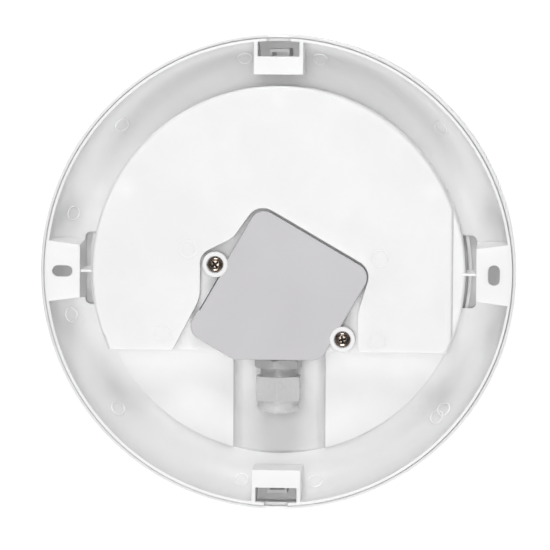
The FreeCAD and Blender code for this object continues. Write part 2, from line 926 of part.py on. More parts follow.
def junction_box_body():
    body = box_prism(box_overhang, ear_radius - box_overhang, box_floor, cover_foot)
    body = body.cut(prism(box_corners(inner_inset), box_inside, cover_foot + cut))
    for x, y in ear_centres():
        body = body.cut(disc(cover_screw + cover_screw_gap, head_seat - cover_screw_length - cut,
                             cover_foot + cut, x, y))
    for u, v in fixing_spots:
        x, y = box_point(u, v)
        body = body.cut(disc(small_screw + small_hole_gap, box_floor - cut, box_inside + cut, x, y))
    body = body.cut(along_y(gland_thread + gland_hole_gap, gland_wall_y - cut,
                            gland_wall_y + box_wall + cut))
    grommet_v = cover_half_v - box_overhang
    return body.cut(along_v(grommet_waist, grommet_u, grommet_v - box_wall - cut, grommet_v + cut,
                            lead_level))


def box_fixing_screws():
    group = []
    for u, v in fixing_spots:
        x, y = box_point(u, v)
        length = box_inside - trough_under - 2 * fixing_skin
        group.append(headed_screw(x, y, box_inside, length, small_screw, small_head,
                                  small_head_height))
    return Part.makeCompound(group)


def cover_screw_at(x, y):
    """Captive cover screw with a cross recess in its pan head."""
    screw = headed_screw(x, y, head_seat, cover_screw_length, cover_screw, cover_head,
                         cover_head_height)
    crown = head_seat + cover_head_height
    screw = screw.makeFillet(head_round, top_edges(screw, crown))
    for half_x, half_y in ((cross_wing, cross_slit), (cross_slit, cross_wing)):
        screw = screw.cut(block(x - half_x, x + half_x, y - half_y, y + half_y,
                                crown - cross_depth, crown + cut))
    return screw


def terminal_block():
    """Three-pole connector strip with a bore along v and two screw holes over each pole."""
    top = box_inside + block_height
    strip = box_block(-block_u / 2, block_u / 2, -block_v / 2, block_v / 2, box_inside, top)
    for u in pole_places():
        strip = strip.cut(barrel_blank(u))
        strip = strip.cut(along_v(barrel_bore, u, -block_v, block_v, lead_level))
        for v in (-clamp_spread, clamp_spread):
            x, y = box_point(u, v)
            strip = strip.cut(disc(clamp_screw + clamp_hole_gap, lead_level, top + cut, x, y))
    for u in pole_places()[:-1]:
        middle = u + pole_pitch / 2
        strip = strip.cut(box_block(middle - pole_groove / 2, middle + pole_groove / 2, -block_v,
                                    block_v, top - pole_groove_depth, top + cut))
    return strip


def pole_places():
    return [(i - (pole_count - 1) / 2) * pole_pitch for i in range(pole_count)]


def barrel_blank(u):
    half = barrel_side / 2
    return box_block(u - half, u + half, -barrel_length / 2, barrel_length / 2, lead_level - half,
                     lead_level + half)


def terminal_barrels():
    group = []
    for u in pole_places():
        barrel = barrel_blank(u).cut(along_v(barrel_bore, u, -block_v, block_v, lead_level))
        for v in (-clamp_spread, clamp_spread):
            x, y = box_point(u, v)
            barrel = barrel.cut(disc(clamp_screw, lead_level, lead_level + barrel_side, x, y))
        group.append(barrel)
    return Part.makeCompound(group)


def terminal_screws():
    group = []
    for u in pole_places():
        for v in (-clamp_spread, clamp_spread):
            x, y = box_point(u, v)
            low = lead_level + barrel_bore
            group.append(disc(clamp_screw, low, low + clamp_screw_length, x, y))
    return Part.makeCompound(group)


def lead_grommet():
    """Rubber bush through the box wall and the wall of the well."""
    start = cover_half_v - box_overhang - box_wall
    end = cover_half_v - box_overhang + well_gap + shell_wall
    bush = joined([
        along_v(grommet_flange, grommet_u, start - grommet_flange_thick, start, lead_level),
        along_v(grommet_waist, grommet_u, start - grommet_flange_thick, end + grommet_flange_thick,
                lead_level),
        along_v(grommet_flange, grommet_u, end, end + grommet_flange_thick, lead_level),
    ])
    for side in (-1, 1):
        u = grommet_u + side * lead_spread
        bush = bush.cut(along_v(lead_radius, u, start - 3 * cut, end + 3 * cut, lead_level))
    return bush


def supply_lead(pole, side):
    """Insulated wire from a terminal to the driver: straight runs with tangent arcs."""
    u_start = pole_places()[pole]
    u_end = grommet_u + side * lead_spread
    v_start = barrel_length / 2 - clamp_spread
    driver_v = (driver_y - driver_width / 2 + driver_wall - box_y - u_end * turn_sin) / turn_cos
    drop = lead_pole_step * pole
    route = [(u_start, v_start), (u_start, v_start + lead_first_bend + drop),
             (u_end, v_start + lead_second_bend + drop / 2), (u_end, driver_v + lead_entry)]
    places = [Vector(*box_point(u, v), lead_level) for u, v in route]
    edges = []
    last = places[0]
    for i in (1, 2):
        back = places[i - 1] - places[i]
        ahead = places[i + 1] - places[i]
        half = back.getAngle(ahead) / 2
        reach = lead_bend_share * min(back.Length, ahead.Length)
        radius = reach * math.tan(half)
        back.normalize()
        ahead.normalize()
        middle = back + ahead
        middle.normalize()
        start = places[i] + back * reach
        end = places[i] + ahead * reach
        edges.append(Part.makeLine(last, start))
        edges.append(Part.Arc(start, places[i] + middle * (radius / math.sin(half) - radius),
                              end).toShape())
        last = end
    edges.append(Part.makeLine(last, places[3]))
    path = Part.Wire(edges)
    direction = places[1] - places[0]
    ring = Part.Wire([Part.makeCircle(lead_radius, places[0], direction)])
    return path.makePipeShell([ring], True, False)


# Cable gland, with its axis along -Y

def along_y(radius, y_low, y_high):
    return Part.makeCylinder(radius, y_high - y_low, Vector(0, y_low, gland_level), Vector(0, 1, 0))


def hexagon(flats, y_low, y_high, turn):
    """Hexagonal bar along Y, its upper corner turned from the ceiling's direction by turn."""
    radius = flats / math.sqrt(3)
    points = []
    for i in range(7):
        x, z = around(radius, 90 + turn + 60 * i)
        points.append(Vector(x, y_low, gland_level + z))
    return Part.Face(Part.makePolygon(points)).extrude(Vector(0, y_high - y_low, 0))


def softened(bar, flats, y_low, y_high, slope):
    """Bar with its hexagonal corners turned off at both ends."""
    radius = flats / math.sqrt(3)
    section = [(0, y_low), (radius - slope, y_low), (radius, y_low + slope),
               (radius, y_high - slope), (radius - slope, y_high), (0, y_high)]
    return bar.common(spun_on_gland(section))


def spun_on_gland(section):
    """Solid turned about the gland's axis from points of radius and Y."""
    points = [Vector(r, y, gland_level) for r, y in section]
    face = Part.Face(Part.makePolygon(points + points[:1]))
    return face.revolve(Vector(0, 0, gland_level), Vector(0, 1, 0), 360)


def gland_body():
    """Threaded body with a hexagonal flange and a crown of spring claws."""
    tail_y = gland_wall_y + gland_tail
    flange = softened(hexagon(gland_flange_flats, flange_front_y, flange_back_y, gland_flange_turn),
                      gland_flange_flats, flange_front_y, flange_back_y, gland_flange_chamfer)
    stem = along_y(gland_thread, neck_end_y, tail_y)
    crown = along_y(claw_outer, claw_end_y, neck_end_y)
    body = joined([flange, stem, crown])
    body = body.cut(along_y(gland_bore, claw_end_y - cut, tail_y + cut))
    body = body.cut(along_y(claw_inner, claw_end_y - cut, neck_end_y + claw_bore_depth))
    for i in range(claw_count // 2):
        slit = Part.makeBox(3 * claw_outer, claw_length, claw_slit,
                            Vector(-1.5 * claw_outer, claw_end_y - cut, gland_level - claw_slit / 2))
        slit.rotate(Vector(0, 0, gland_level), Vector(0, 1, 0), i * 360 / claw_count)
        body = body.cut(slit)
    return body


def gland_washer_ring():
    return along_y(gland_flange_flats / 2 - washer_inset, flange_back_y, gland_wall_y).cut(
        along_y(gland_thread, flange_back_y - cut, gland_wall_y + cut))


def gland_locknut():
    low = gland_wall_y + box_wall
    high = low + locknut_thick
    nut = softened(hexagon(locknut_flats, low, high, locknut_turn), locknut_flats, low, high,
                   locknut_chamfer)
    return nut.cut(along_y(gland_thread, low - cut, high + cut))


def gland_seal():
    """Rubber sleeve that the claws press on to the cable."""
    front = claw_end_y - (seal_length - claw_length) / 2
    outer = claw_inner - seal_gap
    return along_y(outer, front, front + seal_length).cut(
        along_y(seal_bore, front - cut, front + seal_length + cut))


def gland_nut():
    """Dome nut: hexagonal grip, rounded nose and a coned inside."""
    grip = softened(hexagon(nut_flats, nut_shoulder_y, nut_back_y, 0), nut_flats,
                    nut_shoulder_y, nut_back_y, nut_chamfer)
    nose_radius = nut_flats / 2 - nut_nose_step
    bend = (nose_radius + nut_tip) / 2 + nut_bulge
    corners = [Vector(nose_radius, nut_front_y + nut_nose, gland_level),
               Vector(nose_radius, nut_shoulder_y, gland_level),
               Vector(0, nut_shoulder_y, gland_level), Vector(0, nut_front_y, gland_level),
               Vector(nut_tip, nut_front_y, gland_level)]
    edges = [Part.makeLine(a, b) for a, b in zip(corners, corners[1:])]
    edges.append(Part.Arc(corners[-1], Vector(bend, nut_front_y + nut_nose / 3, gland_level),
                          corners[0]).toShape())
    face = Part.Face(Part.Wire(edges))
    nose = face.revolve(Vector(0, 0, gland_level), Vector(0, 1, 0), 360)
    nut = joined([grip, nose])
    wall_y = nut_front_y + nut_end_wall
    bore = gland_thread + thread_gap
    inside = spun_on_gland([(0, nut_front_y - cut), (nut_mouth, nut_front_y - cut),
                            (nut_mouth, wall_y), (bore, wall_y + nut_cone),
                            (bore, nut_back_y + cut), (0, nut_back_y + cut)])
    return nut.cut(inside)


nodes = {
    "base_housing": base_housing,
    "trim_ring": trim_ring,
    "diffuser": diffuser,
    "diffuser_gasket": lambda: tube(gasket_outer, gasket_inner, flange_back, chamber_front),
    "diffuser_screws": diffuser_screws,
    "led_plate": led_plate,
    "led_plate_screws": led_plate_screws,
    "led_board": led_board,
    "leds": leds,
    "led_leads": led_leads,
    "driver_tray": driver_tray,
    "driver_board": driver_board,
    "driver_transformer": driver_transformer,
    "driver_capacitors": driver_capacitors,
    "driver_cover": driver_cover,
    "junction_box_body": junction_box_body,
    "junction_box_cover": junction_box_cover,
    "cover_gasket": cover_gasket,
    "cover_screw_left": lambda: cover_screw_at(*ear_centres()[0]),
    "cover_screw_right": lambda: cover_screw_at(*ear_centres()[1]),
    "box_fixing_screws": box_fixing_screws,
    "terminal_block": terminal_block,
    "terminal_barrels": terminal_barrels,
    "terminal_screws": terminal_screws,
    "lead_grommet": lead_grommet,
    "live_lead": lambda: supply_lead(0, -1),
    "neutral_lead": lambda: supply_lead(1, 1),
    "gland_body": gland_body,
    "gland_washer": gland_washer_ring,
    "gland_locknut": gland_locknut,
    "gland_seal": gland_seal,
    "gland_nut": gland_nut,
}

os.makedirs("parts", exist_ok=True)
for name, make in nodes.items():
    shape = make()
    shape.exportStep("parts/" + name + ".step")
    print(name, "solids", len(shape.Solids), "valid", shape.isValid(), "volume", round(shape.Volume))
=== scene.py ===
import math

import bmesh
import bpy
from mathutils import Matrix, Vector


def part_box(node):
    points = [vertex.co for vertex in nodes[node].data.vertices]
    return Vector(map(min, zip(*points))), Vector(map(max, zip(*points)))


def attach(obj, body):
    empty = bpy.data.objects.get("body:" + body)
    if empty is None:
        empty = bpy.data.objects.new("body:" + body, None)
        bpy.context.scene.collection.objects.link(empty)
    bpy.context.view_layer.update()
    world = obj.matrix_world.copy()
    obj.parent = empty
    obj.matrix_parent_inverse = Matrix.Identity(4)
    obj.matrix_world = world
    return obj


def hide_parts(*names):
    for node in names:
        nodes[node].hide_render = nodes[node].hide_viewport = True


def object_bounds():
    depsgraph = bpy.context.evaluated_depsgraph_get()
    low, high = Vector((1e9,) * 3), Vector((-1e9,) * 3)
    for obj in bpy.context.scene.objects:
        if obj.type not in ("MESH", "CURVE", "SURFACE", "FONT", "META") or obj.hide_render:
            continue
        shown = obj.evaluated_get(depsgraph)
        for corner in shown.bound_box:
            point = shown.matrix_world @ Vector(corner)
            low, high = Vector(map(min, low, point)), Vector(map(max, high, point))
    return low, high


mm = 0.001

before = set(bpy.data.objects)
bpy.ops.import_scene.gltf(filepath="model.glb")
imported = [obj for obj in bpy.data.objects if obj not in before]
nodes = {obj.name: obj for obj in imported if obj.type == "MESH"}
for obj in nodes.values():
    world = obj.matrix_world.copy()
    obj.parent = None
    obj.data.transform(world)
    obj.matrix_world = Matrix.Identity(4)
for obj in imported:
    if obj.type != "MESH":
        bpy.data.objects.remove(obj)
cadLow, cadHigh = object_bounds()
scene = bpy.context.scene
scene.view_settings.view_transform = "Standard"
print("frame loaded with", len(nodes), "pieces")


# Camera: looks down at the back of the lamp, leaning a little to the upper right

cameraLook = {
    "slopeX": 0.0665, "slopeY": 0.0756, "distance": 1.877,
    "aim": (-0.00119, -0.00098, 0.0), "pictureWidth": 0.30006, "roll": 0.34,
    "sensorWidth": 36.0, "farEnd": 20.0,
}


def makeCamera(look):
    back = Vector((look["slopeX"], look["slopeY"], 1.0)).normalized()
    data = bpy.data.cameras.new("cameraBack")
    data.sensor_width = look["sensorWidth"]
    data.lens = look["sensorWidth"] * look["distance"] / look["pictureWidth"]
    data.clip_end = look["farEnd"]
    camera = bpy.data.objects.new("cameraBack", data)
    scene.collection.objects.link(camera)
    up = Vector((0, 1, 0)) + back * -back.y
    up.normalize()
    right = up.cross(back)
    turn = math.radians(look["roll"])
    side = right * math.cos(turn) + up * math.sin(turn)
    top = up * math.cos(turn) - right * math.sin(turn)
    place = Matrix((side, top, back)).transposed().to_4x4()
    place.translation = Vector(look["aim"]) + back * look["distance"]
    camera.matrix_world = place
    scene.camera = camera
    return camera


makeCamera(cameraLook)
print("camera placed")


# Light: one broad softbox overhead, one long one at each end of the picture

studio = {
    "world": 0.18, "worldColour": (1.0, 1.0, 1.0),
    "overhead": {"place": (-0.03, 0.05, 1.5), "size": (0.8, 0.9), "power": 10.0},
    "upper": {"place": (0.0, 1.3, 0.9), "size": (0.7, 0.5), "power": 11.5},
    "lower": {"place": (0.0, -1.3, 0.9), "size": (0.7, 0.5), "power": 12.0},
    "under": {"place": (0.0, 0.0, -1.4), "size": (1.2, 1.2), "power": 9.0},
}


def makeSoftbox(name, look):
    data = bpy.data.lights.new(name, "AREA")
    data.shape = "RECTANGLE"
    data.size, data.size_y = look["size"]
    data.energy = look["power"]
    lamp = bpy.data.objects.new(name, data)
    scene.collection.objects.link(lamp)
    away = Vector(look["place"]).normalized()
    lamp.rotation_mode = "QUATERNION"
    lamp.rotation_quaternion = away.to_track_quat("Z", "Y")
    lamp.location = look["place"]
    lamp.visible_camera = False
    return lamp


for part in ("overhead", "upper", "lower", "under"):
    makeSoftbox(part + "Softbox", studio[part])


def makeWorld(look):
    world = bpy.data.worlds.new("studioWorld")
    scene.world = world
    world.use_nodes = True
    tree = world.node_tree
    tree.nodes.clear()
    path = tree.nodes.new("ShaderNodeLightPath")
    seen = tree.nodes.new("ShaderNodeMath")
    seen.operation = "MAXIMUM"
    tree.links.new(path.outputs["Is Camera Ray"], seen.inputs[0])
    tree.links.new(path.outputs["Is Transmission Ray"], seen.inputs[1])
    strength = tree.nodes.new("ShaderNodeMapRange")
    strength.inputs["To Min"].default_value = look["world"]
    strength.inputs["To Max"].default_value = 1.0
    tree.links.new(seen.outputs[0], strength.inputs["Value"])
    light = tree.nodes.new("ShaderNodeBackground")
    light.inputs["Color"].default_value = (*look["worldColour"], 1.0)
    tree.links.new(strength.outputs["Result"], light.inputs["Strength"])
    out = tree.nodes.new("ShaderNodeOutputWorld")
    tree.links.new(light.outputs["Background"], out.inputs["Surface"])


makeWorld(studio)
print("studio lit")


# Small tools for node materials

def addNode(tree, kind, **settings):
    node = tree.nodes.new(kind)
    for key, value in settings.items():
        setattr(node, key, value)
    return node


def setInputs(node, values):
    for key, value in values.items():
        node.inputs[key].default_value = value


def mixColours(tree, factor, first, second):
    # each of the two is a socket or a plain colour; gives the socket of the mixed colour
    mix = addNode(tree, "ShaderNodeMix", data_type="RGBA")
    ends = [socket for socket in mix.inputs if socket.type == "RGBA"]
    tree.links.new(factor, mix.inputs["Factor"])
    for socket, source in zip(ends, (first, second)):
        if isinstance(source, tuple):
            socket.default_value = (*source, 1.0)
        else:
            tree.links.new(source, socket)
    return next(socket for socket in mix.outputs if socket.type == "RGBA")


def newGroup(name, takes, gives):
    group = bpy.data.node_groups.new(name, "ShaderNodeTree")
    for socket, kind, value in takes:
        made = group.interface.new_socket(name=socket, in_out="INPUT",
                                          socket_type="NodeSocket" + kind)
        if value is not None:
            made.default_value = value
    for socket, kind in gives:
        group.interface.new_socket(name=socket, in_out="OUTPUT", socket_type="NodeSocket" + kind)
    return group, addNode(group, "NodeGroupInput"), addNode(group, "NodeGroupOutput")


mouldedDetail = {
    "cloud": {"Detail": 5.0, "Roughness": 0.55, "Distortion": 0.6},
    "cloudRange": {"From Min": 0.38, "From Max": 0.68},
    "grain": {"Detail": 3.0, "Roughness": 0.6}, "pitShare": 0.5,
    "glossRange": {"From Min": 0.3, "From Max": 0.75},
}
metalDetail = {
    "streak": {"Detail": 4.0, "Roughness": 0.65},
    "spots": {"Scale": 420.0, "Detail": 3.0, "Roughness": 0.7},
    "filmRange": {"From Min": 0.42, "From Max": 0.66},
    "glossRange": {"From Min": 0.3, "From Max": 0.7},
}
edgeDetail = {"samples": 6}


def buildMouldedSkin(detail):
    # flow clouds in the colour, a fine spark texture in the height, and gloss that varies with both
    tree, take, give = newGroup("mouldedSkin", [
        ("Colour", "Color", (0.8, 0.8, 0.8, 1)), ("Shade", "Color", (0.7, 0.7, 0.7, 1)),
        ("Cloud size", "Float", 12.0), ("Cloud amount", "Float", 0.5),
        ("Grain size", "Float", 900.0), ("Gloss low", "Float", 0.35), ("Gloss high", "Float", 0.5),
    ], [("Colour", "Color"), ("Roughness", "Float"), ("Height", "Float")])
    link = tree.links.new
    place = addNode(tree, "ShaderNodeTexCoord")
    cloud = addNode(tree, "ShaderNodeTexNoise")
    setInputs(cloud, detail["cloud"])
    link(place.outputs["Object"], cloud.inputs["Vector"])
    link(take.outputs["Cloud size"], cloud.inputs["Scale"])
    ramp = addNode(tree, "ShaderNodeMapRange")
    setInputs(ramp, detail["cloudRange"])
    link(cloud.outputs["Fac"], ramp.inputs["Value"])
    amount = addNode(tree, "ShaderNodeMath", operation="MULTIPLY")
    link(ramp.outputs["Result"], amount.inputs[0])
    link(take.outputs["Cloud amount"], amount.inputs[1])
    colour = mixColours(tree, amount.outputs[0], take.outputs["Colour"], take.outputs["Shade"])
    link(colour, give.inputs["Colour"])
    grain = addNode(tree, "ShaderNodeTexNoise")
    setInputs(grain, detail["grain"])
    link(place.outputs["Object"], grain.inputs["Vector"])
    link(take.outputs["Grain size"], grain.inputs["Scale"])
    pits = addNode(tree, "ShaderNodeTexVoronoi", feature="SMOOTH_F1")
    link(place.outputs["Object"], pits.inputs["Vector"])
    link(take.outputs["Grain size"], pits.inputs["Scale"])
    height = addNode(tree, "ShaderNodeMath", operation="MULTIPLY_ADD")
    height.inputs[1].default_value = detail["pitShare"]
    link(pits.outputs["Distance"], height.inputs[0])
    link(grain.outputs["Fac"], height.inputs[2])
    link(height.outputs[0], give.inputs["Height"])
    gloss = addNode(tree, "ShaderNodeMapRange")
    setInputs(gloss, detail["glossRange"])
    link(cloud.outputs["Fac"], gloss.inputs["Value"])
    link(take.outputs["Gloss low"], gloss.inputs["To Min"])
    link(take.outputs["Gloss high"], gloss.inputs["To Max"])
    link(gloss.outputs["Result"], give.inputs["Roughness"])
    return tree


def buildMetalSkin(detail):
    # drawn or turned streaks stretched along one axis, with spots of a darker film
    tree, take, give = newGroup("metalSkin", [
        ("Colour", "Color", (0.7, 0.7, 0.7, 1)), ("Film", "Color", (0.5, 0.5, 0.5, 1)),
        ("Stretch", "Vector", (1.0, 1.0, 20.0)), ("Streak size", "Float", 300.0),
        ("Gloss low", "Float", 0.2), ("Gloss high", "Float", 0.45),
    ], [("Colour", "Color"), ("Roughness", "Float"), ("Height", "Float")])
    link = tree.links.new
    place = addNode(tree, "ShaderNodeTexCoord")
    stretch = addNode(tree, "ShaderNodeVectorMath", operation="MULTIPLY")
    link(place.outputs["Object"], stretch.inputs[0])
    link(take.outputs["Stretch"], stretch.inputs[1])
    streak = addNode(tree, "ShaderNodeTexNoise")
    setInputs(streak, detail["streak"])
    link(stretch.outputs[0], streak.inputs["Vector"])
    link(take.outputs["Streak size"], streak.inputs["Scale"])
    spots = addNode(tree, "ShaderNodeTexNoise")
    setInputs(spots, detail["spots"])
    link(place.outputs["Object"], spots.inputs["Vector"])
    film = addNode(tree, "ShaderNodeMapRange")
    setInputs(film, detail["filmRange"])
    link(spots.outputs["Fac"], film.inputs["Value"])
    colour = mixColours(tree, film.outputs["Result"], take.outputs["Colour"], take.outputs["Film"])
    link(colour, give.inputs["Colour"])
    gloss = addNode(tree, "ShaderNodeMapRange")
    setInputs(gloss, detail["glossRange"])
    link(streak.outputs["Fac"], gloss.inputs["Value"])
    link(take.outputs["Gloss low"], gloss.inputs["To Min"])
    link(take.outputs["Gloss high"], gloss.inputs["To Max"])
    link(gloss.outputs["Result"], give.inputs["Roughness"])
    link(streak.outputs["Fac"], give.inputs["Height"])
    return tree


mouldedSkin = buildMouldedSkin(mouldedDetail)
metalSkin = buildMetalSkin(metalDetail)
print("skins built")


def finishMaterial(name, skin, look):
    material = bpy.data.materials.new(name)
    material.use_nodes = True
    tree = material.node_tree
    shader = tree.nodes["Principled BSDF"]
    link = tree.links.new
    surface = addNode(tree, "ShaderNodeGroup", node_tree=skin)
    for key, value in look["skin"].items():
        socket = surface.inputs[key]
        socket.default_value = (*value, 1.0) if socket.type == "RGBA" else value
    link(surface.outputs["Colour"], shader.inputs["Base Color"])
    link(surface.outputs["Roughness"], shader.inputs["Roughness"])
    bump = addNode(tree, "ShaderNodeBump")
    setInputs(bump, {"Strength": look["bump"], "Distance": look["depth"]})
    link(surface.outputs["Height"], bump.inputs["Height"])
    link(bump.outputs["Normal"], shader.inputs["Normal"])
    if look.get("softEdge"):
        edge = addNode(tree, "ShaderNodeBevel", samples=edgeDetail["samples"])
        edge.inputs["Radius"].default_value = look["softEdge"]
        link(edge.outputs["Normal"], bump.inputs["Normal"])
    setInputs(shader, look.get("shader", {}))
    return material


def dress(material, *names):
    for name in names:
        mesh = nodes[name].data
        mesh.materials.clear()
        mesh.materials.append(material)


# White mouldings: base and trim

housingLook = {
    "skin": {"Colour": (0.87, 0.87, 0.872), "Shade": (0.825, 0.826, 0.83), "Cloud size": 28.0,
             "Cloud amount": 0.6, "Grain size": 1400.0, "Gloss low": 0.34, "Gloss high": 0.46},
    "bump": 0.12, "depth": 0.00004, "softEdge": 0.0006,
    "shader": {"Specular IOR Level": 0.45, "Subsurface Weight": 0.5, "Subsurface Scale": 0.006,
               "Subsurface Radius": (1.0, 1.0, 1.0)},
}
trimLook = {
    "skin": {"Colour": (0.88, 0.88, 0.882), "Shade": (0.85, 0.85, 0.853), "Cloud size": 16.0,
             "Cloud amount": 0.4, "Grain size": 1800.0, "Gloss low": 0.28, "Gloss high": 0.36},
    "bump": 0.08, "depth": 0.00003, "softEdge": 0.0005,
    "shader": {"Specular IOR Level": 0.5, "Subsurface Weight": 0.8, "Subsurface Scale": 0.009,
               "Subsurface Radius": (1.0, 1.0, 1.0)},
}
dress(finishMaterial("whiteHousing", mouldedSkin, housingLook), "base_housing")
dress(finishMaterial("whiteTrim", mouldedSkin, trimLook), "trim_ring")
print("white mouldings done")


# Diffuser and its seal

opalLook = {
    "skin": {"Colour": (0.86, 0.86, 0.85), "Shade": (0.83, 0.83, 0.82), "Cloud size": 9.0,
             "Cloud amount": 0.5, "Grain size": 2200.0, "Gloss low": 0.22, "Gloss high": 0.3},
    "bump": 0.05, "depth": 0.00003,
    "shader": {"Subsurface Weight": 0.35, "Subsurface Scale": 0.004,
               "Subsurface Radius": (1.0, 1.0, 1.0), "Coat Weight": 0.15},
}
softWhiteLook = {
    "skin": {"Colour": (0.84, 0.84, 0.83), "Shade": (0.74, 0.74, 0.72), "Cloud size": 60.0,
             "Cloud amount": 0.6, "Grain size": 700.0, "Gloss low": 0.6, "Gloss high": 0.8},
    "bump": 0.3, "depth": 0.0001,
}
dress(finishMaterial("opalDome", mouldedSkin, opalLook), "diffuser")
dress(finishMaterial("softWhiteSeal", mouldedSkin, softWhiteLook), "diffuser_gasket")


# Grey pieces: wiring box, cover, gland and rubber

boxLook = {
    "skin": {"Colour": (0.56, 0.555, 0.565), "Shade": (0.5, 0.495, 0.505), "Cloud size": 40.0,
             "Cloud amount": 0.5, "Grain size": 1200.0, "Gloss low": 0.4, "Gloss high": 0.52},
    "bump": 0.2, "depth": 0.00005, "softEdge": 0.0004,
}
coverLook = {
    "skin": {"Colour": (0.53, 0.52, 0.535), "Shade": (0.5, 0.49, 0.505), "Cloud size": 22.0,
             "Cloud amount": 0.45, "Grain size": 1300.0, "Gloss low": 0.42, "Gloss high": 0.52},
    "bump": 0.16, "depth": 0.00004, "softEdge": 0.0005,
    "shader": {"Specular IOR Level": 0.4},
}
glandLook = {
    "skin": {"Colour": (0.58, 0.58, 0.58), "Shade": (0.52, 0.52, 0.522), "Cloud size": 120.0,
             "Cloud amount": 0.5, "Grain size": 2000.0, "Gloss low": 0.22, "Gloss high": 0.34},
    "bump": 0.1, "depth": 0.00003, "softEdge": 0.0007,
    "shader": {"Subsurface Weight": 0.05, "Subsurface Scale": 0.0015,
               "Subsurface Radius": (1.0, 1.0, 1.0)},
}
# the same grey nylon as the nut, painted darker as the shade the cover casts on the gland body
neckShadeLook = {
    "skin": {"Colour": (0.44, 0.438, 0.44), "Shade": (0.39, 0.388, 0.39), "Cloud size": 120.0,
             "Cloud amount": 0.5, "Grain size": 2000.0, "Gloss low": 0.25, "Gloss high": 0.36},
    "bump": 0.12, "depth": 0.00003, "softEdge": 0.0004,
}
greyRubberLook = {
    "skin": {"Colour": (0.2, 0.2, 0.205), "Shade": (0.12, 0.12, 0.125), "Cloud size": 150.0,
             "Cloud amount": 0.7, "Grain size": 900.0, "Gloss low": 0.6, "Gloss high": 0.85},
    "bump": 0.35, "depth": 0.00008,
}
dress(finishMaterial("greyBox", mouldedSkin, boxLook), "junction_box_body")
dress(finishMaterial("greyCover", mouldedSkin, coverLook), "junction_box_cover")
dress(finishMaterial("greyNylon", mouldedSkin, glandLook), "gland_nut", "gland_locknut")
dress(finishMaterial("threadedNylonPaintedShade", mouldedSkin, neckShadeLook), "gland_body")
dress(finishMaterial("greyRubber", mouldedSkin, greyRubberLook), "cover_gasket", "lead_grommet",
      "gland_washer", "gland_seal")


def planCentre(name):
    low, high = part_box(name)
    return Vector(((low[0] + high[0]) / 2, (low[1] + high[1]) / 2, 0))


def lightenCollars(material, look):
    # a round mask on each screw's collar mixes a paler grey into the colour
    tree = material.node_tree
    link = tree.links.new
    shader = tree.nodes["Principled BSDF"]
    plain = shader.inputs["Base Color"].links[0].from_socket
    place = addNode(tree, "ShaderNodeTexCoord")
    for name in ("cover_screw_left", "cover_screw_right"):
        away = addNode(tree, "ShaderNodeVectorMath", operation="SUBTRACT")
        link(place.outputs["Object"], away.inputs[0])
        away.inputs[1].default_value = planCentre(name)
        flat = addNode(tree, "ShaderNodeVectorMath", operation="MULTIPLY")
        flat.inputs[1].default_value = (1, 1, 0)
        link(away.outputs[0], flat.inputs[0])
        span = addNode(tree, "ShaderNodeVectorMath", operation="LENGTH")
        link(flat.outputs[0], span.inputs[0])
        mask = addNode(tree, "ShaderNodeMapRange")
        setInputs(mask, {"From Min": look["outer"], "From Max": look["outer"] - look["fade"]})
        link(span.outputs["Value"], mask.inputs["Value"])
        plain = mixColours(tree, mask.outputs["Result"], plain, look["colour"])
    link(plain, shader.inputs["Base Color"])


collarLook = {"outer": 7.15 * mm, "fade": 0.2 * mm, "colour": (0.8, 0.795, 0.8)}
lightenCollars(bpy.data.materials["greyCover"], collarLook)


def threadNeck(material, look):
    # rings one pitch apart round the neck, added to the height of the grain
    tree = material.node_tree
    link = tree.links.new
    bump = next(node for node in tree.nodes if node.type == "BUMP")
    fine = bump.inputs["Height"].links[0].from_socket
    place = addNode(tree, "ShaderNodeTexCoord")
    rings = addNode(tree, "ShaderNodeTexWave", wave_type="BANDS", bands_direction="Y")
    rings.inputs["Scale"].default_value = math.tau / (look["waveSpan"] * look["pitch"])
    link(place.outputs["Object"], rings.inputs["Vector"])
    along = addNode(tree, "ShaderNodeSeparateXYZ")
    link(place.outputs["Object"], along.inputs[0])
    mask = addNode(tree, "ShaderNodeMath", operation="LESS_THAN")
    mask.inputs[1].default_value = look["start"]
    link(along.outputs["Y"], mask.inputs[0])
    cut = addNode(tree, "ShaderNodeMath", operation="MULTIPLY")
    link(rings.outputs["Fac"], cut.inputs[0])
    link(mask.outputs[0], cut.inputs[1])
    both = addNode(tree, "ShaderNodeMath", operation="MULTIPLY_ADD")
    both.inputs[1].default_value = look["height"]
    link(cut.outputs[0], both.inputs[0])
    link(fine, both.inputs[2])
    link(both.outputs[0], bump.inputs["Height"])


threadLook = {"pitch": 1.5 * mm, "start": -53.3 * mm, "height": 14.0, "waveSpan": 20}
threadNeck(bpy.data.materials["threadedNylonPaintedShade"], threadLook)
print("grey pieces done")


# Metal pieces

bronzedLook = {
    "skin": {"Colour": (0.37, 0.31, 0.26), "Film": (0.09, 0.07, 0.06), "Stretch": (1.0, 1.0, 1.0),
             "Streak size": 900.0, "Gloss low": 0.12, "Gloss high": 0.26},
    "bump": 0.15, "depth": 0.00003, "softEdge": 0.00015,
    "shader": {"Metallic": 1.0},
}
platedLook = {
    "skin": {"Colour": (0.74, 0.74, 0.72), "Film": (0.55, 0.56, 0.55), "Stretch": (1.0, 1.0, 1.0),
             "Streak size": 900.0, "Gloss low": 0.2, "Gloss high": 0.4},
    "bump": 0.15, "depth": 0.00003, "softEdge": 0.00015,
    "shader": {"Metallic": 1.0},
}
rolledLook = {
    "skin": {"Colour": (0.8, 0.8, 0.81), "Film": (0.72, 0.72, 0.73), "Stretch": (1.0, 30.0, 1.0),
             "Streak size": 60.0, "Gloss low": 0.25, "Gloss high": 0.42},
    "bump": 0.1, "depth": 0.00003,
    "shader": {"Metallic": 1.0},
}
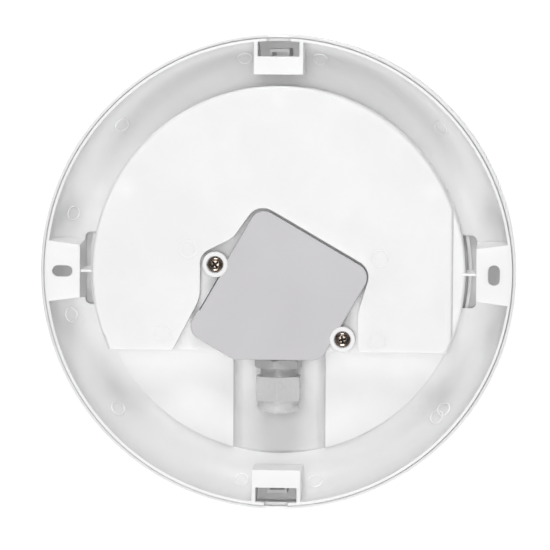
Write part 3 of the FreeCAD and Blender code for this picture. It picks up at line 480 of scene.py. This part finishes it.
brassLook = {
    "skin": {"Colour": (0.78, 0.6, 0.3), "Film": (0.6, 0.42, 0.2), "Stretch": (1.0, 12.0, 1.0),
             "Streak size": 400.0, "Gloss low": 0.2, "Gloss high": 0.38},
    "bump": 0.15, "depth": 0.00003, "softEdge": 0.00015,
    "shader": {"Metallic": 1.0},
}
dress(finishMaterial("bronzedSteel", metalSkin, bronzedLook),
      "cover_screw_left", "cover_screw_right")
dress(finishMaterial("platedSteel", metalSkin, platedLook), "diffuser_screws", "led_plate_screws",
      "box_fixing_screws", "terminal_screws")
dress(finishMaterial("rolledAluminium", metalSkin, rolledLook), "led_plate")
dress(finishMaterial("terminalBrass", metalSkin, brassLook), "terminal_barrels")
print("metal pieces done")


# New pieces: shared steps

pieceLook = {"joinWithin": 1e-7, "sharpAngle": 40.0}


def newPiece(mesh, name, material, body):
    bmesh.ops.remove_doubles(mesh, verts=mesh.verts, dist=pieceLook["joinWithin"])
    bmesh.ops.recalc_face_normals(mesh, faces=mesh.faces)
    data = bpy.data.meshes.new(name)
    mesh.to_mesh(data)
    mesh.free()
    data.shade_smooth()
    data.set_sharp_from_angle(angle=math.radians(pieceLook["sharpAngle"]))
    data.materials.append(material)
    piece = bpy.data.objects.new(name, data)
    scene.collection.objects.link(piece)
    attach(piece, body)
    return piece


def spinProfile(mesh, points, steps):
    # a closed turned shape from points (radius, height) in millimetres
    verts = [mesh.verts.new((radius * mm, 0, height * mm)) for radius, height in points]
    edges = [mesh.edges.new(pair) for pair in zip(verts, verts[1:])]
    bmesh.ops.spin(mesh, geom=verts + edges, axis=(0, 0, 1), cent=(0, 0, 0), steps=steps,
                   angle=math.tau, use_merge=True)
    bmesh.ops.remove_doubles(mesh, verts=mesh.verts, dist=pieceLook["joinWithin"])


# Cover screws: domed heads with a cross recess whose faces are painted near-black as shade, and a
# threaded shank

coverScrewLook = {
    "crown": -1.3, "core": 1.62, "steps": 56,
    "head": [(1.5, -1.34), (2.6, -1.52), (3.4, -1.9), (4.0, -2.4), (4.3, -2.9), (4.3, -3.12)],
    "neck": -3.12, "shankEnd": -20.0, "tip": [(0.9, -20.9), (0, -21.0)],
    "wing": 3.1, "slit": 0.7, "depth": 3.3, "bladeTaper": (0.45, 0.6, 1.0),
    "turn": {"left": 38.0, "right": 12.0},
    "threadPitch": 0.9, "threadHeight": 0.17, "threadRoot": 0.1, "threadStart": -19.35,
    "threadHalf": 0.25, "threadTurns": 16, "stepsPerTurn": 16,
}


def wingCutter(look, turn):
    # one tapered blade of the driver, as deep as the recess; its faces carry slot 1, the painted
    # shade that the cut leaves on the recess walls
    mesh = bmesh.new()
    bmesh.ops.create_cube(mesh, size=1.0)
    size = Vector((look["wing"], look["slit"], look["depth"])) * 2 * mm
    bmesh.ops.scale(mesh, vec=size, verts=mesh.verts)
    low = [vert for vert in mesh.verts if vert.co.z < 0]
    bmesh.ops.scale(mesh, vec=look["bladeTaper"], verts=low)
    bmesh.ops.rotate(mesh, cent=(0, 0, 0), matrix=Matrix.Rotation(math.radians(turn), 3, "Z"),
                     verts=mesh.verts)
    for face in mesh.faces:
        face.material_index = 1
    data = bpy.data.meshes.new("recessBlade")
    mesh.to_mesh(data)
    mesh.free()
    blade = bpy.data.objects.new("recessBlade", data)
    scene.collection.objects.link(blade)
    return blade


def makeScrewThread(side, spot, look, material):
    mesh = bmesh.new()
    root = look["core"] - look["threadRoot"]
    crest = look["core"] + look["threadHeight"]
    start, half = look["threadStart"], look["threadHalf"]
    points = [(root, start - half), (crest, start), (root, start + half)]
    verts = [mesh.verts.new((radius * mm, 0, height * mm)) for radius, height in points]
    edges = [mesh.edges.new(pair) for pair in zip(verts, verts[1:] + verts[:1])]
    face = mesh.faces.new(verts)
    climb = look["threadPitch"] * mm / look["stepsPerTurn"]
    bmesh.ops.spin(mesh, geom=verts + edges + [face], axis=(0, 0, 1), cent=(0, 0, 0),
                   steps=look["threadTurns"] * look["stepsPerTurn"],
                   angle=math.tau * look["threadTurns"], dvec=(0, 0, climb))
    bmesh.ops.translate(mesh, vec=spot, verts=mesh.verts)
    newPiece(mesh, "screw_thread_" + side, material, side + "_cover_screw")


def makeCoverScrew(side, look, material, recess):
    spot = planCentre("cover_screw_" + side)
    mesh = bmesh.new()
    shank = [(look["core"], look["neck"]), (look["core"], look["shankEnd"])]
    spinProfile(mesh, [(0, look["crown"])] + look["head"] + shank + look["tip"], look["steps"])
    bmesh.ops.translate(mesh, vec=spot, verts=mesh.verts)
    screw = newPiece(mesh, "domed_screw_" + side, material, side + "_cover_screw")
    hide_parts("cover_screw_" + side)
    # second slot: near-black painted shade for the inside of the cross recess
    screw.data.materials.append(recess)
    blades = [wingCutter(look, look["turn"][side] + part) for part in (0, 90)]
    for blade in blades:
        blade.location = spot + Vector((0, 0, look["crown"] * mm))
        blade.data.materials.append(material)
        blade.data.materials.append(recess)
        cut = screw.modifiers.new("recess", "BOOLEAN")
        cut.operation = "DIFFERENCE"
        cut.solver = "EXACT"
        cut.object = blade
    bpy.context.view_layer.update()
    shaped = screw.evaluated_get(bpy.context.evaluated_depsgraph_get())
    screwMesh = bpy.data.meshes.new_from_object(shaped)
    screw.modifiers.clear()
    screw.data = screwMesh
    for blade in blades:
        bpy.data.objects.remove(blade)
    makeScrewThread(side, spot, look, material)


# near-black painted shade for the cross recess, much darker than the bronzed metal around it
recessShadeLook = {
    "skin": {"Colour": (0.03, 0.025, 0.022), "Film": (0.012, 0.01, 0.01),
             "Stretch": (1.0, 1.0, 1.0),
             "Streak size": 1200.0, "Gloss low": 0.4, "Gloss high": 0.6},
    "bump": 0.2, "depth": 0.00003,
    "shader": {"Metallic": 0.5},
}
recessPaintedShade = finishMaterial("recessPaintedShade", metalSkin, recessShadeLook)
for side in ("left", "right"):
    makeCoverScrew(side, coverScrewLook, bpy.data.materials["bronzedSteel"], recessPaintedShade)
print("cover screws done")


# Ejector marks: low round beads left by the mould's pins

ejectorLook = {
    "bandCentre": (104.4, -4.0), "bandCurve": 22.0, "bandSpot": 118.5,
    "bandAngles": (42, 79.5, 99.7, 137.7, 165, 192.5, 221, 260, 280, 317.4, 320.2),
    "bandRadius": 4.2, "bandWidth": 0.8, "bandLift": 0.5,
    "panLevel": -1.0, "panSpots": ((-48.8, 12.6), (56.0, 8.7), (-62.4, -33.9), (55.0, -36.6)),
    "panRadius": 4.8, "panWidth": 0.5, "panLift": 0.2, "root": -0.3,
    "shoulder": 0.3, "steps": 44,
}


def markBead(look, place):
    # a closed ring with a sloping crest, sunk a little into the wall
    radius, width, lift = (look[place + part] for part in ("Radius", "Width", "Lift"))
    inner, root, slope = radius - width, look["root"], width * look["shoulder"]
    mesh = bmesh.new()
    spinProfile(mesh, [(inner, root), (inner, 0), (inner + slope, lift), (radius - slope, lift),
                       (radius, 0), (radius, root), (inner, root)], look["steps"])
    return mesh


def makeBandMark(number, angle, look, material):
    mesh = markBead(look, "band")
    centreRadius, centreHeight = look["bandCentre"]
    start = math.asin((look["bandSpot"] - centreRadius) / look["bandCurve"])
    for vert in mesh.verts:
        climb = start + vert.co.x / mm / look["bandCurve"]
        reach = look["bandCurve"] - vert.co.z / mm
        radius = centreRadius + reach * math.sin(climb)
        around = math.radians(angle) + vert.co.y / mm / look["bandSpot"]
        height = centreHeight - reach * math.cos(climb)
        vert.co = Vector((radius * math.cos(around), radius * math.sin(around), height)) * mm
    newPiece(mesh, "band_mark_%d" % number, material, "base")


def makePanMark(number, spot, look, material):
    mesh = markBead(look, "pan")
    place = Vector((*spot, look["panLevel"])) * mm
    bmesh.ops.translate(mesh, vec=place, verts=mesh.verts)
    newPiece(mesh, "pan_mark_%d" % number, material, "base")


# the beads are the housing's own plastic; their paler white is a painted highlight that makes the
# low rings show
beadHighlightLook = {
    "skin": {"Colour": (0.93, 0.93, 0.93), "Shade": (0.89, 0.89, 0.892), "Cloud size": 28.0,
             "Cloud amount": 0.6, "Grain size": 1400.0, "Gloss low": 0.2, "Gloss high": 0.3},
    "bump": 0.1, "depth": 0.00003,
}
paintedHighlightBead = finishMaterial("paintedHighlightBead", mouldedSkin, beadHighlightLook)
for number, angle in enumerate(ejectorLook["bandAngles"], 1):
    makeBandMark(number, angle, ejectorLook, paintedHighlightBead)
for number, spot in enumerate(ejectorLook["panSpots"], 1):
    makePanMark(number, spot, ejectorLook, paintedHighlightBead)
print("ejector marks done")


# Electrical pieces inside

def plainLook(colour, shade, cloud, grain, gloss, bump):
    return {"skin": {"Colour": colour, "Shade": shade, "Cloud size": cloud, "Cloud amount": 0.6,
                     "Grain size": grain, "Gloss low": gloss[0], "Gloss high": gloss[1]},
            "bump": bump, "depth": 0.00004}


insideLooks = {
    "whiteBoard": plainLook((0.87, 0.87, 0.86), (0.8, 0.8, 0.78), 30, 1500, (0.3, 0.45), 0.1),
    "ledPhosphor": plainLook((0.85, 0.7, 0.2), (0.9, 0.8, 0.4), 300, 3000, (0.2, 0.3), 0.1),
    "blackInsulation": plainLook((0.03, 0.03, 0.03), (0.05, 0.05, 0.05), 80, 900, (0.35, 0.5), 0.1),
    "brownInsulation": plainLook((0.19, 0.075, 0.03), (0.13, 0.05, 0.022), 80, 900,
                                 (0.35, 0.5), 0.1),
    "blueInsulation": plainLook((0.03, 0.11, 0.42), (0.02, 0.07, 0.3), 80, 900, (0.35, 0.5), 0.1),
    "greyInsulator": plainLook((0.72, 0.72, 0.71), (0.64, 0.64, 0.63), 30, 1300, (0.4, 0.55), 0.15),
    "greenLaminate": plainLook((0.05, 0.2, 0.06), (0.09, 0.26, 0.08), 50, 1500, (0.3, 0.45), 0.1),
    "darkFerrite": plainLook((0.05, 0.05, 0.055), (0.1, 0.09, 0.04), 120, 900, (0.4, 0.6), 0.2),
    "capacitorSleeve": plainLook((0.03, 0.035, 0.05), (0.05, 0.055, 0.07), 90, 1600,
                                 (0.15, 0.25), 0.05),
    "naturalNylon": plainLook((0.78, 0.76, 0.68), (0.7, 0.68, 0.6), 60, 1500, (0.35, 0.5), 0.12),
}
insideWearers = {
    "whiteBoard": ["led_board"], "ledPhosphor": ["leds"], "blackInsulation": ["led_leads"],
    "brownInsulation": ["live_lead"], "blueInsulation": ["neutral_lead"],
    "greyInsulator": ["driver_tray", "driver_cover"], "greenLaminate": ["driver_board"],
    "darkFerrite": ["driver_transformer"], "capacitorSleeve": ["driver_capacitors"],
    "naturalNylon": ["terminal_block"],
}
for name, look in insideLooks.items():
    dress(finishMaterial(name, mouldedSkin, look), *insideWearers[name])
print("inner pieces done")


# Floor: pale, seen as white, and open from below

floorLook = {
    "size": 3.0, "gap": 0.3 * mm, "colour": (0.82, 0.82, 0.82), "patch": (0.8036, 0.8036, 0.8036),
    "patches": {"Scale": 8.0, "Detail": 3.0}, "seenLift": 0.35,
    "shader": {"Roughness": 0.9, "Specular IOR Level": 0.1, "Emission Color": (1, 1, 1, 1)},
}


def makeFloor(look):
    mesh = bmesh.new()
    bmesh.ops.create_grid(mesh, x_segments=4, y_segments=4, size=look["size"])
    bmesh.ops.translate(mesh, vec=(0, 0, cadLow.z - look["gap"]), verts=mesh.verts)
    data = bpy.data.meshes.new("floor")
    mesh.to_mesh(data)
    mesh.free()
    floor = bpy.data.objects.new("floor", data)
    scene.collection.objects.link(floor)
    material = bpy.data.materials.new("paleFloor")
    material.use_nodes = True
    tree = material.node_tree
    link = tree.links.new
    shader = tree.nodes["Principled BSDF"]
    out = tree.nodes["Material Output"]
    path = addNode(tree, "ShaderNodeLightPath")
    side = addNode(tree, "ShaderNodeNewGeometry")
    noise = addNode(tree, "ShaderNodeTexNoise")
    setInputs(noise, look["patches"])
    place = addNode(tree, "ShaderNodeTexCoord")
    link(place.outputs["Object"], noise.inputs["Vector"])
    tint = mixColours(tree, noise.outputs["Fac"], look["colour"], look["patch"])
    link(tint, shader.inputs["Base Color"])
    setInputs(shader, look["shader"])
    seen = addNode(tree, "ShaderNodeMath", operation="MAXIMUM")
    link(path.outputs["Is Camera Ray"], seen.inputs[0])
    link(path.outputs["Is Glossy Ray"], seen.inputs[1])
    lift = addNode(tree, "ShaderNodeMath", operation="MULTIPLY")
    lift.inputs[1].default_value = look["seenLift"]
    link(seen.outputs[0], lift.inputs[0])
    link(lift.outputs[0], shader.inputs["Emission Strength"])
    clear = addNode(tree, "ShaderNodeBsdfTransparent")
    unseen = addNode(tree, "ShaderNodeMath", operation="MAXIMUM")
    link(path.outputs["Is Shadow Ray"], unseen.inputs[0])
    link(side.outputs["Backfacing"], unseen.inputs[1])
    mix = addNode(tree, "ShaderNodeMixShader")
    link(unseen.outputs[0], mix.inputs["Fac"])
    link(shader.outputs["BSDF"], mix.inputs[1])
    link(clear.outputs["BSDF"], mix.inputs[2])
    link(mix.outputs["Shader"], out.inputs["Surface"])
    data.materials.append(material)


makeFloor(floorLook)
print("floor laid")
